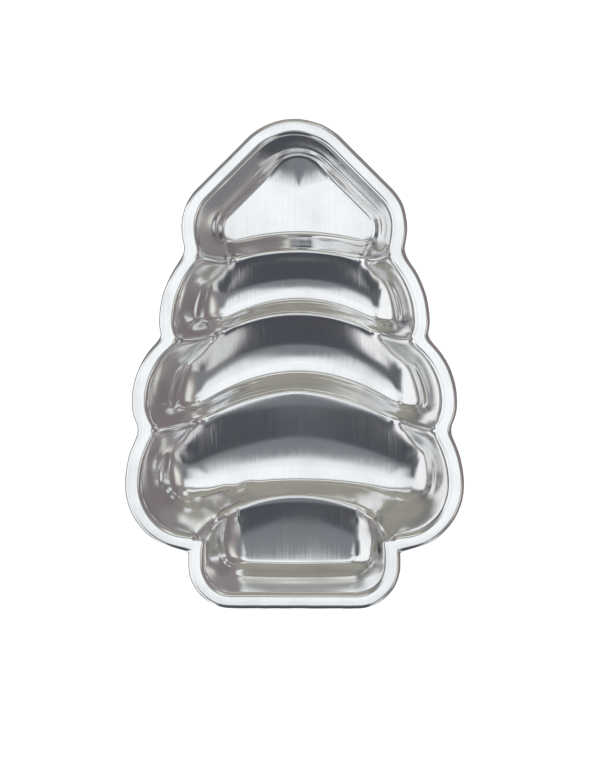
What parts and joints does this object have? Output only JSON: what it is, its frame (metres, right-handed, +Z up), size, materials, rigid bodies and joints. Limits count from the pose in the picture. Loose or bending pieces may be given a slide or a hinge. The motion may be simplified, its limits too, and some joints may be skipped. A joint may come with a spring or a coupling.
{
  "type": "cake pan",
  "caption": "Shallow drawn-aluminium cake pan in the outline of a stepped fir tree, with sloped pockets parted by curved ridges and a flanged rim.",
  "frame": {"origin": "on the table plane under the middle of the pan's overall length and width", "axes": "+Y along the tree towards its tip, +Z up out of the pan's mouth, +X to the right seen from above with the tip up"},
  "size_m": [0.1756, 0.2522, 0.04],
  "materials": {
    "aluminium_sheet": "bright rolled mill finish with fine lengthwise grain"
  },
  "bodies": {
    "root": {"rim": "aluminium_sheet", "tip_pocket": "aluminium_sheet", "upper_tier_pocket": "aluminium_sheet", "middle_tier_pocket": "aluminium_sheet", "lower_tier_pocket": "aluminium_sheet", "trunk_pocket": "aluminium_sheet"}
  },
  "joints": []
}
